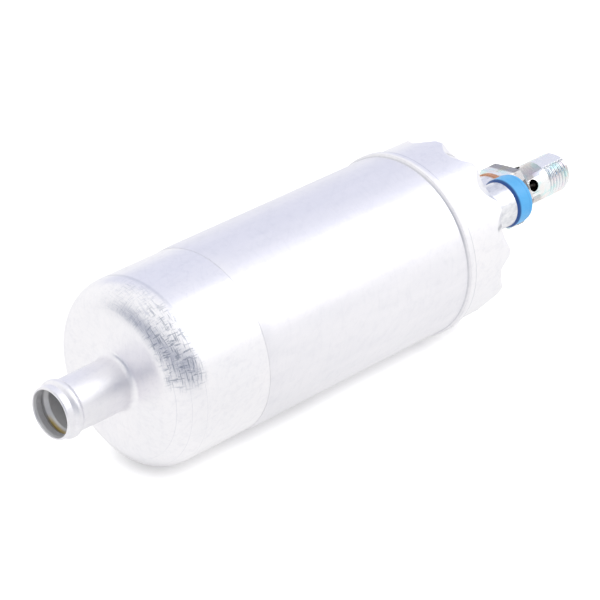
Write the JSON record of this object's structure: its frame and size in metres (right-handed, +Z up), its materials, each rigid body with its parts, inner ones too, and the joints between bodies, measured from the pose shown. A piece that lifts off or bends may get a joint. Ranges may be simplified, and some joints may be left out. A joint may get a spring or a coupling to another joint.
{
  "type": "inline fuel pump",
  "caption": "Inline electric fuel pump with a hose neck, an aluminium can, a blue-ringed socket and a threaded check valve outlet.",
  "frame": {"origin": "On the pump's axis, in the middle of the clamp zone of the can.", "axes": "+X along the pump's axis towards the outlet, +Z up as the pump lies in the picture, +Y across."},
  "size_m": [0.2262, 0.0624, 0.0624],
  "materials": {
    "can_aluminium": "satin",
    "film_aluminium": "satin",
    "cast_aluminium": "satin",
    "zinc_steel": "satin",
    "bright_steel": "satin",
    "spring_steel": "satin",
    "sintered_steel": "matte",
    "copper": "satin",
    "bronze": "satin",
    "blue_plastic": "gloss",
    "dark_plastic": "matte",
    "carbon": "matte",
    "ferrite": "matte",
    "seal_rubber": "matte",
    "tinned_brass": "satin"
  },
  "bodies": {
    "housing": {"can": "can_aluminium", "label_sleeve": "film_aluminium", "inlet_strainer": "bronze", "inlet_plate": "cast_aluminium", "rotor_ring": "sintered_steel", "outlet_plate": "cast_aluminium", "stage_screws": "bright_steel", "front_bush": "bronze", "middle_bush": "bronze", "rear_bush": "bronze", "relief_spring": "spring_steel", "relief_plug": "bronze", "flux_tube": "bright_steel", "magnet_upper": "ferrite", "magnet_lower": "ferrite", "magnet_clips": "spring_steel", "brush_plate": "dark_plastic", "brush_spring_left": "spring_steel", "brush_spring_right": "spring_steel", "lead_upper": "tinned_brass", "lead_lower": "tinned_brass", "end_cover": "cast_aluminium", "cover_oring": "seal_rubber", "socket_insulator": "blue_plastic", "pin_upper": "tinned_brass", "pin_lower": "tinned_brass", "copper_washer": "copper", "valve_fitting": "zinc_steel", "valve_seat": "bronze", "check_spring": "spring_steel"},
    "armature": {"shaft": "bright_steel", "armature_core": "sintered_steel", "armature_coils": "copper", "commutator_hub": "dark_plastic", "commutator_bars": "copper", "inner_rotor": "sintered_steel"},
    "outer_rotor_body": {"outer_rotor": "sintered_steel"},
    "relief_body": {"relief_ball": "bright_steel"},
    "poppet_body": {"check_poppet": "dark_plastic"},
    "brush_left_body": {"brush_left": "carbon"},
    "brush_right_body": {"brush_right": "carbon"}
  },
  "joints": [
    {"name": "armature_spin", "type": "hinge", "parent": "housing", "child": "armature", "pos_m": [0, 0, 0], "axis": [1, 0, 0], "continuous": true},
    {"name": "outer_rotor_spin", "type": "hinge", "parent": "housing", "child": "outer_rotor_body", "pos_m": [-0.0543, 0.0012, 0], "axis": [1, 0, 0], "continuous": true},
    {"name": "relief_lift", "type": "slide", "parent": "housing", "child": "relief_body", "axis": [-1, 0, 0], "range_m": [0, 0.0012], "stiffness_N_per_m": 4000, "springref_m": -0.001, "deforming": ["relief_spring"]},
    {"name": "check_lift", "type": "slide", "parent": "housing", "child": "poppet_body", "axis": [1, 0, 0], "range_m": [0, 0.002], "stiffness_N_per_m": 500, "springref_m": -0.002, "deforming": ["check_spring"]},
    {"name": "brush_left_slide", "type": "slide", "parent": "housing", "child": "brush_left_body", "axis": [0, 1, 0], "range_m": [0, 0.002], "stiffness_N_per_m": 300, "springref_m": -0.003, "deforming": ["brush_spring_left"]},
    {"name": "brush_right_slide", "type": "slide", "parent": "housing", "child": "brush_right_body", "axis": [0, -1, 0], "range_m": [0, 0.002], "stiffness_N_per_m": 300, "springref_m": -0.003, "deforming": ["brush_spring_right"]}
  ],
  "couplings": [
    {"joint": "outer_rotor_spin", "follows": "armature_spin", "ratio": 0.85714}
  ]
}
